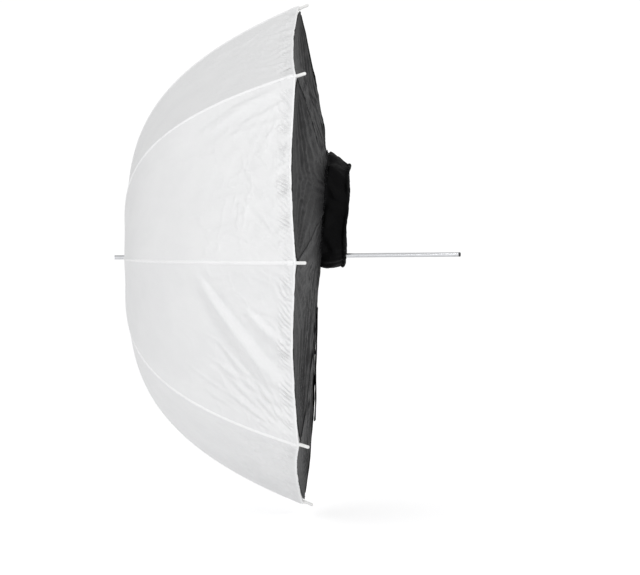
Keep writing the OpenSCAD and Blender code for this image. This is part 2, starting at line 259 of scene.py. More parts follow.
def canopy_relief(r, angle):
    """Height of the canopy's folds, creases and puckers above the plain sheet."""
    number = np.mod(np.floor(angle / STEP), RIBS).astype(int)
    across = r * gore(angle) * np.sin(off_mid(angle))
    along = arc(r)
    to_hem = arc(hem_radius(angle)) - along
    to_rib = r * np.sin(HALF) - np.abs(across)
    height = np.zeros_like(across)
    for gore_number, a0, s0, a1, s1, width, rise in FOLDS:
        run = np.array([a1 - a0, s1 - s0]) * MM
        length = np.hypot(*run)
        run /= length
        du, dv = across - a0 * MM, along - s0 * MM
        share = (du * run[0] + dv * run[1]) / length
        bend = 3.5 * MM * np.sin(share * 3.1 + a0)
        z = (dv * run[0] - du * run[1] + bend) / (width * MM * (0.55 + 0.5 * np.clip(share, 0, 1)))
        # A crest that is steeper on one side, with a shallow valley on both.
        z = z * (1 + 0.35 * np.tanh(z * 1.5))
        hat = (1 - 1.1 * z * z) * np.exp(-z * z)
        envelope = smooth(-0.05, 0.35, share) * (1 - smooth(0.78, 1.12, share))
        height += (number == gore_number) * rise * FOLD_DEPTH * hat * envelope
    # A fan of fine folds that converge on each tip, strongest on gore 2.
    for side in (-1, 1):
        u = HALF_HEM - side * across
        v = RIB_LENGTH - along
        reach, turn = np.hypot(u, v), np.arctan2(u, v)
        strength = np.where((number == 2) & (side > 0), 0.8, np.where(number == 3, 0.4, 0.22))
        fan = np.cos(turn * 44 + 2.6 * noise(reach * 9, turn * 3, 71 + side))
        window = smooth(0.03, 0.09, reach) * (1 - smooth(0.12, 0.26, reach))
        window = window * smooth(0.2, 0.45, turn) * (1 - smooth(0.95, 1.3, turn))
        height += 1.5 * strength * MM * fan * window
    # Creases left from when the umbrella was folded, mostly in the outer half.
    x, y = along / 0.034, (across + number * 1.7) / 0.030
    crease_area = smooth(0.30, 0.50, along) * (0.55 + 0.45 * noise(x * 0.25, y * 0.25, 9))
    height += 2.3 * MM * crumple(x, y, 3) * crease_area
    height += 2.0 * MM * crumple(x * 1.9, y * 1.9, 17) * crease_area * smooth(0.36, 0.52, along)
    # Faint long creases parallel to the ribs.
    lines = crumple(across / 0.03 + number * 3, along / 0.28, 29)
    height += 0.30 * MM * lines * smooth(0.12, 0.3, along) * smooth(0.0, 0.03, to_rib)
    # Slow slack.
    height += 1.6 * MM * noise(along / 0.11, (across + number) / 0.09, 41) * smooth(0.08, 0.3, along)
    height *= smooth(0.0, 0.022, to_rib)
    # Puckers beside the rib seams, and gathers above the hem.
    beside = np.exp(-to_rib / 0.007) * smooth(0.03, 0.08, along)
    height += 0.28 * MM * np.sin(along / 0.0021 + 3 * noise(along / 0.02, number * 3.3, 53)) * beside
    gather = smooth(0.000, 0.009, to_hem) * (1 - smooth(0.014, 0.034, to_hem)) * smooth(0.0, 0.006, to_rib)
    slant = (across + 0.9 * to_hem) / 0.0016
    ripple = np.sin(slant + 4.5 * noise(across / 0.016, number * 2.7, 61))
    height += (1.2 + 1.1 * noise(across / 0.02, number * 1.9, 62)) * MM * ripple * gather
    long_ripple = np.sin((across + 0.5 * to_hem) / 0.0048 + 6 * noise(across / 0.04, to_hem / 0.05, 66))
    height += 1.8 * MM * long_ripple * np.exp(-np.clip(to_hem, 0, 1) / 0.040) * smooth(-0.004, 0.016, to_hem)
    return height * smooth(0.0, 0.004, to_rib)


def outward(points):
    """Unit normals of a grid of points, by differences. Rows run out from the hub, columns round."""
    down = np.gradient(points, axis=0)
    round_ = np.gradient(points, axis=1)
    return unit(np.cross(down, round_))


def turned_to(way, normals, sample):
    """The normals, all turned round if the one at the sample looks away from a direction."""
    return -normals if np.dot(normals[sample], way) < 0 else normals


def canopy_points(r, angle, lift=0.0):
    """Points of the finished canopy sheet, with lift along its plain normal."""
    base = around(HUB_X + curve_x(r), r * gore(angle), angle)
    tilt = lean(r)
    normal = unit(around(-np.sin(tilt), np.cos(tilt) * gore(angle), angle))
    return base + normal * (canopy_relief(r, angle) + lift)[..., None]


def cut_radius(joint, angle):
    """Canopy radius, at each angle, where the plane across the rib through a bend joint cuts it."""
    x, _, r = pivot(f"rib_1_{joint}")
    tilt = lean(r + RIB_INSET * cos(lean(r)))
    off_rib = HALF - np.abs(off_mid(angle))
    low, high = np.full_like(angle, r * 0.8), np.full_like(angle, RADIUS)
    for _ in range(40):
        mid = (low + high) / 2
        past = ((HUB_X + curve_x(mid) - x) * cos(tilt)
                + (mid * gore(angle) * np.cos(off_rib) - r) * sin(tilt)) > 0
        low, high = np.where(past, low, mid), np.where(past, mid, high)
    return (low + high) / 2


# ---------------- mesh helpers


class Piece:
    """Collects the parts of one piece: points, faces, material numbers, normals and cloth places."""

    def __init__(self):
        self.points, self.faces, self.slots, self.normals, self.places = [], [], [], [], []
        self.count = 0

    def add(self, points, faces, slot=0, normals=None, places=None):
        points = np.asarray(points, float).reshape(-1, 3)
        self.points.append(points)
        self.faces += [[int(i) + self.count for i in face] for face in faces]
        self.slots += [slot] * len(faces)
        blank = np.zeros_like(points)
        self.normals.append(blank if normals is None else np.asarray(normals).reshape(-1, 3))
        self.places.append(points if places is None else np.asarray(places).reshape(-1, 3))
        self.count += len(points)

    def make(self, name, *materials):
        mesh = bpy.data.meshes.new(name)
        mesh.from_pydata(np.concatenate(self.points).tolist(), [], self.faces)
        mesh.polygons.foreach_set("use_smooth", [True] * len(self.faces))
        mesh.polygons.foreach_set("material_index", self.slots)
        place = mesh.attributes.new("cloth_place", "FLOAT_VECTOR", "POINT")
        place.data.foreach_set("vector", np.concatenate(self.places).astype(np.float32).ravel())
        mesh.update()
        normals = np.concatenate(self.normals)
        if np.any(normals):
            mesh.normals_split_custom_set_from_vertices(normals.tolist())
        for material in materials:
            mesh.materials.append(material)
        obj = bpy.data.objects.new(name, mesh)
        bpy.context.scene.collection.objects.link(obj)
        return obj


def quads(rows, cols, wrap=False):
    """Faces of a grid of points, as rows of four numbers."""
    index = np.arange(rows * cols).reshape(rows, cols)
    if wrap:
        index = np.concatenate([index, index[:, :1]], 1)
    return np.stack([index[:-1, :-1], index[:-1, 1:], index[1:, 1:], index[1:, :-1]], -1).reshape(-1, 4)


def shell(piece, points, normals, places, thickness):
    """Adds a closed thin shell round a grid of points: two skins and the rim between them."""
    rows, cols = points.shape[:2]
    first = quads(rows, cols)
    a, b, c, _ = points.reshape(-1, 3)[first[len(first) // 2]]
    facing = np.dot(np.cross(b - a, c - b), normals.reshape(-1, 3)[first[len(first) // 2][0]])
    if facing < 0:
        first = first[:, ::-1]
    index = np.arange(rows * cols).reshape(rows, cols)
    edge = np.concatenate([index[0, :-1], index[:-1, -1], index[-1, :0:-1], index[:0:-1, 0]])
    after = np.roll(edge, -1)
    base = rows * cols
    rim = np.stack([edge, after, after + base, edge + base], -1)
    if facing > 0:
        rim = rim[:, ::-1]
    # Both skins are cut into triangles along the same diagonals, so they can't cross in a sharp fold.
    halves = np.concatenate([first[:, [0, 1, 2]], first[:, [0, 2, 3]]])
    faces = np.concatenate([halves, halves[:, ::-1] + base]).tolist() + rim.tolist()
    both = np.concatenate([points + normals * thickness / 2, points - normals * thickness / 2])
    # The third number of a cloth place is 1 on the second skin, which faces into the umbrella.
    spread = places.reshape(-1, 3)
    spread = np.concatenate([spread, spread + np.array([0, 0, 1])])
    piece.add(both, faces, 0, np.concatenate([normals, -normals]), spread)


def sweep(piece, path, side, up, outline, slot=0):
    """Adds a solid with a closed outline of (across, up) points carried along a path."""
    outline = np.asarray(outline, float)
    if outline.ndim == 2:
        outline = np.repeat(outline[None], len(path), 0)
    points = path[:, None] + outline[..., :1] * side[:, None] + outline[..., 1:] * up[:, None]
    rows, cols = points.shape[:2]
    faces = quads(rows, cols, wrap=True).tolist()
    faces.append(list(range(cols))[::-1])
    faces.append(list(range((rows - 1) * cols, rows * cols)))
    forward = path[1] - path[0]
    loop = outline[0]
    area = np.sum(loop[:, 0] * np.roll(loop[:, 1], -1) - np.roll(loop[:, 0], -1) * loop[:, 1])
    if np.dot(np.cross(side[0], up[0]), forward) * area > 0:
        faces = [face[::-1] for face in faces]
    piece.add(points, faces, slot)


def circle(radius, sides=10, squeeze=1.0):
    """An outline for sweep."""
    turn = np.arange(sides) * TURN / sides
    return np.stack([radius * np.cos(turn), radius * squeeze * np.sin(turn)], -1)


def frame_along(path, up):
    """Side and corrected up vectors along a path."""
    forward = unit(np.gradient(path, axis=0))
    side = unit(np.cross(up, forward))
    return side, np.cross(forward, side)


THREAD = 0.42 * MM


def stitches(piece, path, up, pitch=3.4 * MM, slot=1):
    """Adds a row of thread stitches, each a small spindle that dips into the cloth at both ends."""
    lengths = lengths_along(path)
    count = max(1, int(lengths[-1] / pitch))
    side, up = frame_along(path, up)
    for k in range(count):
        at = (np.array([0.14, 0.5, 0.86]) + k) * pitch
        start, middle, end = (np.array([np.interp(a, lengths, path[:, c]) for c in range(3)])
                              for a in at)
        near = min(np.searchsorted(lengths, at[1]), len(path) - 1)
        s, u = side[near] * THREAD / 2, up[near] * THREAD / 2
        points = [start - u, middle - s, middle + u * 1.2, middle + s, middle - u, end - u]
        faces = [(0, 1, 2), (0, 2, 3), (0, 3, 4), (0, 4, 1), (5, 2, 1), (5, 3, 2), (5, 4, 3), (5, 1, 4)]
        if np.dot(np.cross(points[1] - points[0], points[2] - points[0]), up[near]) < 0:
            faces = [face[::-1] for face in faces]
        piece.add(points, faces, slot)


def settle(made, body, axis, anchor, keep):
    """Rides a piece of cloth on a body, with a mesh of its own."""
    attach(made, body)
    tuple(axis)
    tuple(anchor)
    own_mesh(made)


# ---------------- materials


def rgba(colour):
    """A grey level, or red, green and blue, as an opaque colour."""
    return (*np.broadcast_to(colour, 3).tolist(), 1.0)


class Nodes:
    """A material with a Principled shader and short calls to add nodes to it."""

    def __init__(self, name, **inputs):
        self.material = bpy.data.materials.new(name)
        self.material.use_nodes = True
        self.tree = self.material.node_tree
        self.shader = next(n for n in self.tree.nodes if n.type == "BSDF_PRINCIPLED")
        self.finish(**inputs)

    def set(self, node, socket, value):
        if hasattr(value, "is_output"):
            self.tree.links.new(value, node.inputs[socket])
        else:
            node.inputs[socket].default_value = value

    def node(self, kind, output=0, settings=None, **inputs):
        """Adds a node and gives one of its outputs. An input named i0, i1 and so on goes by its number."""
        made = self.tree.nodes.new("ShaderNode" + kind)
        for key, value in (settings or {}).items():
            setattr(made, key, value)
        for key, value in inputs.items():
            numbered = key[0] == "i" and key[1:].isdigit()
            self.set(made, int(key[1:]) if numbered else key.replace("_", " "), value)
        return made.outputs[output]

    def place(self, scale=(1, 1, 1), cloth=False):
        """Coordinates in metres: along and across the cloth, or in the row frame."""
        if cloth:
            source = self.node("Attribute", "Vector", {"attribute_name": "cloth_place"})
        else:
            source = self.node("TexCoord", "Object")
        return self.node("Mapping", Vector=source, Scale=scale)

    def noise(self, vector, size, detail=3.0, rough=0.5):
        return self.node("TexNoise", "Fac", Vector=vector, Scale=1 / size, Detail=detail, Roughness=rough)

    def wave(self, vector, size, direction, distort=0.0):
        settings = {"wave_type": "BANDS", "bands_direction": direction}
        # At scale 1 the bands of this texture repeat 20 times in a length of TURN.
        scale = TURN / 20 / size
        return self.node("TexWave", "Fac", settings, Vector=vector, Scale=scale, Distortion=distort)

    def ramp(self, value, low, high, at=(0.0, 1.0)):
        """A colour ramp between two grey levels or colours."""
        made = self.tree.nodes.new("ShaderNodeValToRGB")
        for element, colour, position in zip(made.color_ramp.elements, (low, high), at):
            element.color = rgba(colour)
            element.position = position
        self.set(made, "Fac", value)
        return made.outputs["Color"]

    def plus(self, a, b):
        return self.node("Math", 0, {"operation": "ADD"}, i0=a, i1=b)

    def times(self, a, b):
        return self.node("Math", 0, {"operation": "MULTIPLY"}, i0=a, i1=b)

    def mix(self, share, a, b):
        return self.node("Mix", 2, {"data_type": "RGBA"}, i0=share, i6=a, i7=b)

    def bump(self, height, strength, distance, under=None):
        inputs = {"Height": height, "Strength": strength, "Distance": distance}
        if under is not None:
            inputs["Normal"] = under
        return self.node("Bump", **inputs)

    def finish(self, **inputs):
        for key, value in inputs.items():
            self.set(self.shader, key.replace("_", " "), value)
        return self.material


def woven(name, low, high, thread, roughness, sheen, relief, tint=1.0, wrinkle=0.5, gloss=0.4, glow=0.0):
    """Plain-woven cloth: two crossed sets of threads, fine wrinkles and slow shade changes.

    A glow on the second skin stands for the light that comes through thin cloth."""
    n = Nodes(name, Sheen_Weight=sheen, Sheen_Roughness=0.45, Sheen_Tint=rgba(tint),
              Specular_IOR_Level=gloss)
    cloth = n.place(cloth=True)
    warp = n.wave(cloth, thread, "X")
    weft = n.wave(cloth, thread, "Y")
    weave = n.times(n.plus(warp, weft), 0.5)
    slub = n.noise(n.place((90, 1400, 1), cloth=True), 1.0, 2.0)
    shade = n.noise(n.place(), 0.05, 4.0, 0.55)
    fine = n.noise(n.place(), 0.006, 4.0, 0.6)
    value = n.plus(n.times(shade, 0.6), n.times(weave, 0.2))
    value = n.plus(value, n.times(slub, 0.2))
    colour = n.ramp(value, low, high, (0.3, 0.7))
    rough = n.ramp(fine, roughness - 0.07, roughness + 0.07, (0.3, 0.7))
    normal = n.bump(weave, 0.35, relief)
    normal = n.bump(fine, wrinkle, 0.35 * MM, normal)
    if glow:
        side = n.node("SeparateXYZ", "Z", Vector=cloth)
        n.finish(Emission_Color=rgba(1), Emission_Strength=n.times(side, glow))
    return n.finish(Base_Color=colour, Roughness=rough, Normal=normal)


def thread(name, colour):
    n = Nodes(name, Roughness=0.6, Sheen_Weight=0.3)
    strands = n.wave(n.place(), 0.35 * MM, "DIAGONAL")
    shade = n.ramp(strands, np.array(colour) * 0.8, colour)
    return n.finish(Base_Color=shade, Normal=n.bump(strands, 0.5, 0.1 * MM))


def elastic():
    n = Nodes("elastic_cord", Roughness=0.8)
    braid = n.times(*(n.wave(n.place(), 1.1 * MM, direction, 1.0) for direction in "YZ"))
    return n.finish(Base_Color=n.ramp(braid, 0.01, 0.05), Normal=n.bump(braid, 0.8, 0.3 * MM))


def metal(name, colour, roughness, grain, wear, painted_dark_reflection=0.0):
    """Bright metal with drawing lines along the shaft, smudges, dulled patches and, where asked, a painted
    dark reflection at grazing edges.
    """
    n = Nodes(name, Metallic=1.0)
    lines = n.noise(n.place((6, 900, 900)), 1.0, 3.0)
    smudge = n.noise(n.place(), 0.02, 5.0, 0.6)
    dull = n.ramp(smudge, 0.0, 1.0, (0.45, 0.75))
    tone = n.mix(n.times(dull, 0.6), rgba(colour), rgba(np.array(colour) * (1 - wear)))
    # Painted reflection: the grazing edges are mixed towards near black, as if dark surroundings were
    # mirrored in them.
    if painted_dark_reflection:
        facing = n.node("LayerWeight", "Facing", Blend=0.35)
        tone = n.mix(n.times(facing, painted_dark_reflection), tone, rgba((0.05, 0.05, 0.055)))
    rough = n.plus(roughness, n.times(lines, grain))
    rough = n.plus(rough, n.times(dull, 0.08))
    return n.finish(Base_Color=tone, Roughness=rough, Normal=n.bump(lines, 0.15, 0.02 * MM))


def plastic(name, low, high, roughness, grain):
    """Moulded plastic with a fine spark texture, cloudy shade and rubbed edges."""
    n = Nodes(name, Specular_IOR_Level=0.5)
    spark = n.noise(n.place(), 0.0007, 2.0)
    cloud = n.noise(n.place(), 0.012, 4.0)
    edge = n.node("Bevel", 0, {"samples": 6}, Radius=0.5 * MM)
    true = n.node("NewGeometry", "Normal")
    turned = n.node("VectorMath", "Value", {"operation": "DOT_PRODUCT"}, i0=edge, i1=true)
    rubbed = n.ramp(turned, 1.0, 0.0, (0.82, 0.995))
    tone = n.ramp(cloud, low, high, (0.3, 0.7))
    lighter = np.minimum(1.0, np.array(high) * 1.25 + 0.02)
    tone = n.mix(n.times(rubbed, 0.5), tone, rgba(lighter))
    rough = n.ramp(cloud, roughness - 0.08, roughness + 0.08, (0.3, 0.7))
    return n.finish(Base_Color=tone, Roughness=rough, Normal=n.bump(spark, grain, 0.05 * MM, edge))


def fibre_rod():
    n = Nodes("fibre_rod", Roughness=0.42)
    fibres = n.noise(n.place((30, 1500, 1500)), 1.0, 3.0)
    tone = n.ramp(fibres, (0.66, 0.66, 0.63), (0.84, 0.84, 0.81), (0.3, 0.7))
    return n.finish(Base_Color=tone, Normal=n.bump(fibres, 0.4, 0.05 * MM))


# Cloth: two shades, thread pitch, roughness, sheen and depth of the weave.
WHITE = woven("white_nylon", (0.78, 0.783, 0.788), (0.83, 0.832, 0.835), 0.32 * MM, 0.62, 0.08, 0.05 * MM,
              wrinkle=0.3, glow=0.3)
BINDING = woven("white_binding", (0.86, 0.86, 0.865), (0.93, 0.93, 0.935), 0.6 * MM, 0.7, 0.2, 0.12 * MM)
BLACK = woven("black_nylon", (0.009, 0.009, 0.0095), (0.018, 0.018, 0.0185), 0.45 * MM, 0.50, 0.02, 0.08 * MM,
              (0.5, 0.5, 0.52), 0.6, 0.14)
SLEEVE = woven("black_stretch", (0.0012, 0.0012, 0.0014), (0.005, 0.005, 0.0053), 0.9 * MM, 0.62, 0.0,
               0.18 * MM, (0.3, 0.3, 0.32), 0.8, 0.05)
WHITE_THREAD = thread("white_thread", (0.90, 0.90, 0.90))
BLACK_THREAD = thread("black_thread", (0.035, 0.035, 0.038))
ELASTIC = elastic()
# The chrome's last number paints a dark reflection onto the tube's grazing edges.
CHROME = metal("chromed_tube", (0.80, 0.81, 0.83), 0.10, 0.08, 0.25, 0.75)
STEEL = metal("drawn_steel", (0.60, 0.61, 0.62), 0.26, 0.18, 0.35)
COLLAR = metal("black_oxide", (0.055, 0.055, 0.06), 0.34, 0.12, 0.2)
BLACK_PLASTIC = plastic("black_plastic", (0.014, 0.014, 0.015), (0.024, 0.024, 0.026), 0.42, 0.35)
WHITE_PLASTIC = plastic("white_plastic", (0.80, 0.80, 0.79), (0.88, 0.88, 0.87), 0.33, 0.2)
ROD = fibre_rod()

# ---------------- pieces


def rib_angle(rib):
    """Angle of a rib round the shaft."""
    return STEP * (rib - 1)


def across_rib(rib):
    """Direction round the shaft at a rib, which is also its hinges' axis."""
    angle = rib_angle(rib)
    return np.array([0.0, -cos(angle), -sin(angle)])


HUB = (float(HUB_X), 0.0, 0.0)
CLOTH = 0.45 * MM
# Columns of faces in a gore.
COLUMNS = 80
# Each ring of the canopy: name, body after rib_N, rows, share of width kept when closed.
RINGS = [("hub", "", 8, 0.95), ("crown", "", 12, 0.50), ("inner", "", 24, 0.31),
         ("middle", "_middle", 40, 0.225), ("outer", "_tip", 68, 0.185)]
SIDES = ((-1, "left"), (1, "right"))
# Radii at which the hub and crown rings end.
HUB_RING, CROWN_RING = 0.032, 0.11
# Each ring starts under the one before: how wide the lap is half way between ribs, and how deep under.
LAPS = {"middle": 16 * MM, "outer": 26 * MM}
LAP_DEPTH = 0.75 * MM
# The hem's own pieces take over from the gores this far above the hem.
HEM_DEPTH = 27 * MM


def ring_edges(angle):
    """Radii, at each angle, between which the canopy's rings run, from the centre to the hem."""
    return [np.full_like(angle, CENTRE_HOLE), np.full_like(angle, HUB_RING), np.full_like(angle, CROWN_RING),
            cut_radius("bend_inner", angle), cut_radius("bend_outer", angle),
            radius_at(arc(hem_radius(angle)) - HEM_DEPTH)]


def cloth_places(r, angle):
    """Along and across the cloth, in metres, for the weave."""
    across = r * gore(angle) * np.sin(off_mid(angle))
    return np.stack([across, arc(r), np.zeros_like(across)], -1)


def fold_axis(rib, side, low, high):
    """Direction and anchor for gathering half a gore towards its rib, between two radii.

    The direction leans from straight across the rib towards the line that joins two ribs, and the
    anchor is the middle of the rib's own curve, so the half gores stay under the rib's seam."""
    r = np.linspace(low, high, 40)
    x = HUB_X + curve_x(r)
    run = unit(np.array([x[-1] - x[0], r[-1] - r[0]]))
    middle = cos(HALF) * (1 - SINK)
    dip = atan((1 - middle * cos(HALF)) / (middle * sin(HALF)) * run[0])
    angle = rib_angle(rib)
    outside = around(-run[1], run[0], angle)
    axis = side * across_rib(rib) * cos(dip) - outside * sin(dip)
    return axis, around(x.mean(), r.mean(), angle)


def half_gores(columns):
    """Rib, side, name and columns of each half gore, on a sheet that starts half a gore before rib 1."""
    for rib in range(1, RIBS + 1):
        for side, name in SIDES:
            first = (rib - 1) * columns + (columns // 2 if side > 0 else 0)
            yield rib, side, name, slice(first, first + columns // 2 + 1)


def canopy_pieces():
    """The canopy sheet, cut where the ribs bend and half way between the ribs, so that it can fold."""
    spare = 2
    columns = np.arange(-spare, RIBS * COLUMNS + spare + 1)
    angle = -HALF + columns * STEP / COLUMNS
    edges = ring_edges(angle)
    for number, (ring, body, rows, keep) in enumerate(RINGS):
        share = np.linspace(0, 1, rows + 1)
        if ring == "outer":
            share = share ** 0.85
        gap = share[1] - share[0], share[-1] - share[-2]
        # One more row on each side gives true normals at the ring's ends.
        full = np.concatenate([[share[0] - gap[0] * 0.5], share, [share[-1] + gap[1] * 0.5]])
        r = edges[number][None] + (edges[number + 1] - edges[number])[None] * full[:, None]
        r = np.maximum(r, 1 * MM)
        wide = np.broadcast_to(angle[None], r.shape)
        points = canopy_points(r, wide)
        normals = turned_to(-X_AXIS, outward(points), (0, 0))
        points, normals = points[1:-1, spare:-spare], normals[1:-1, spare:-spare]
        r, wide = r[1:-1, spare:-spare], wide[1:-1, spare:-spare]
        if ring in LAPS:
            off_rib = (HALF - np.abs(off_mid(wide[0]))) / HALF
            lap = LAPS[ring] * off_rib + 0.2 * MM
            under_share = np.array([1.0, 0.66, 0.33, 0.0])
            under_r = r[0][None] - lap[None] * under_share[:, None]
            under_angle = np.broadcast_to(wide[0][None], under_r.shape)
            under = canopy_points(under_r, under_angle, -LAP_DEPTH)
            points = np.concatenate([under, points])
            normals = np.concatenate([np.repeat(normals[:1], 4, 0), normals])
            r, wide = np.concatenate([under_r, r]), np.concatenate([under_angle, wide])
        places = cloth_places(r, wide)
        at_rib = r[:, COLUMNS // 2]
        step = 2 if ring in ("hub", "crown", "inner") else 1
        for rib, side, name, part in half_gores(COLUMNS):
            piece = Piece()
            shell(piece, *(grid[:, part][:, ::step] for grid in (points, normals, places)), CLOTH)
            made = piece.make(f"canopy_{ring}_{rib}_{name}", WHITE)
            axis, anchor = fold_axis(rib, side, at_rib.min(), at_rib.max())
            settle(made, f"rib_{rib}{body}", axis, anchor, keep)
            if rib == 1:
                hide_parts("canopy")


def rib_line(rib, lengths, inset):
    """Points and outward directions along a rib's plane, at distances along its curve."""
    r = radius_at(lengths)
    x, radial = rib_point(r, inset)
    angle = rib_angle(rib)
    tilt = lean(r)
    return around(x, radial, angle), around(-np.sin(tilt), np.cos(tilt), angle)


def bend_length(joint):
    """Distance along the rib's curve at which a bend joint sits."""
    _, _, r = pivot(f"rib_1_{joint}")
    return float(arc(r + RIB_INSET * cos(lean(r))))


INNER_BEND, OUTER_BEND = bend_length("bend_inner"), bend_length("bend_outer")
MIDDLE_JOIN = (INNER_BEND + OUTER_BEND) / 2
CUT_OUTER = float(radius_at(OUTER_BEND))


def bend_over(obj, rib, joint, reach):
    """Bakes a piece's transform into its mesh."""
    length = {"inner": INNER_BEND, "outer": OUTER_BEND}[joint]
    ends, _ = rib_line(rib, np.array([length - reach, length + reach]), RIB_INSET)
    before, after = {"inner": ("", "_middle"), "outer": ("_middle", "_tip")}[joint]
    tuple(ends[0])
    tuple(ends[1])
    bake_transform(obj)


def rib_rods(rib):
    """A rib's rod in two lengths, each of which spans one joint, with the eye at the crown."""
    radius = 1.6 * MM
    start = float(arc(0.0165))
    for part, low, high in (("inner", start, MIDDLE_JOIN), ("outer", MIDDLE_JOIN, RIB_LENGTH + 2 * MM)):
        lengths = np.linspace(low, high, 64)
        path, up = rib_line(rib, lengths, RIB_INSET)
        side, up = frame_along(path, up)
        piece = Piece()
        sweep(piece, path, side, up, circle(radius, 14))
        if part == "inner":
            add_rib_eye(piece, rib)
        made = piece.make(f"rib_{part}_rod_{rib}", ROD)
        bend_over(made, rib, part, 22 * MM)
        if part == "inner":
            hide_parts(f"rib_{rib}")


def add_rib_eye(piece, rib):
    """The flattened end of a rib, a ring with a short neck, on the crown's wire."""
    centre = pivot(f"rib_{rib}_fold")
    axis = across_rib(rib)
    angle = rib_angle(rib)
    radial = np.array([0.0, -sin(angle), cos(angle)])
    turn = np.linspace(0, TURN, 33)[:-1]
    ring = np.cos(turn)[:, None] * radial + np.sin(turn)[:, None] * X_AXIS
    rows = []
    for radius, half in ((0.8, 0.8), (0.8, -0.8), (1.1, -1.0), (2.0, -1.0), (2.25, -0.7),
                         (2.25, 0.7), (2.0, 1.0), (1.1, 1.0)):
        rows.append(centre + ring * radius * MM + axis * half * MM)
    points = np.stack(rows, 1)
    faces = quads(len(points), points.shape[1], wrap=True).tolist()
    last, cols = len(points) - 1, points.shape[1]
    faces += [[last * cols + k, last * cols + (k + 1) % cols, (k + 1) % cols, k] for k in range(cols)]
    piece.add(points, faces)
    length = np.linspace(2.0, 9.5, 6) * MM
    path = centre + length[:, None] * radial
    width = np.interp(length, [2 * MM, 9.5 * MM], [0.95 * MM, 1.5 * MM])
    height = np.interp(length, [2 * MM, 9.5 * MM], [2.0 * MM, 1.5 * MM])
    unit = circle(1.0, 12)
    outline = np.stack([unit[None, :, 0] * width[:, None], unit[None, :, 1] * height[:, None]], -1)
    sweep(piece, path, np.tile(axis, (6, 1)), np.tile(X_AXIS, (6, 1)), outline)


def seam_line(rib, lengths, lift):
    """Points on the finished cloth over a rib, and outward directions there."""
    r = radius_at(lengths)
    angle = np.full_like(r, rib_angle(rib))
    return canopy_points(r, angle, lift), rib_line(rib, lengths, 0)[1]


def rib_seams(rib):
    """The felled seam over a rib: a raised tape with a row of stitches down each side."""
    for part, low, high in (("inner", 9 * MM, MIDDLE_JOIN), ("outer", MIDDLE_JOIN, RIB_LENGTH - 3 * MM)):
        lengths = np.linspace(low, high, 110)
        path, up = seam_line(rib, lengths, CLOTH / 2)
        side, up = frame_along(path, up)
        wide = np.interp(lengths, [0, RIB_LENGTH], [2.1 * MM, 3.6 * MM])
        ripple = 1 + 0.10 * np.sin(lengths / (1.9 * MM)) + 0.06 * noise(lengths / 0.006, 0 * lengths, rib)
        shape = np.array([(-1.0, -0.5), (-0.97, 0.06), (-0.62, 0.42), (-0.3, 0.92), (0.0, 1.06),
                          (0.3, 0.92), (0.62, 0.42), (0.97, 0.06), (1.0, -0.5)])
        outline = np.repeat(shape[None], len(lengths), 0)
        outline[..., 0] *= wide[:, None]
        outline[..., 1] *= (1.15 * MM * ripple)[:, None]
        # The tape's edges follow the cloth's fall on either side of the rib.
        outline[..., 1] -= np.abs(outline[..., 0]) * 0.34
        piece = Piece()
        sweep(piece, path, side, up, outline)
        for edge in (-0.66, 0.66):
            row = path + side * (wide * edge)[:, None] - up * (np.abs(edge) * wide * 0.34)[:, None]
            stitches(piece, row + up * 0.5 * MM, up)
        made = piece.make(f"seam_{part}_{rib}", BINDING, WHITE_THREAD)
        bend_over(made, rib, part, 12 * MM)


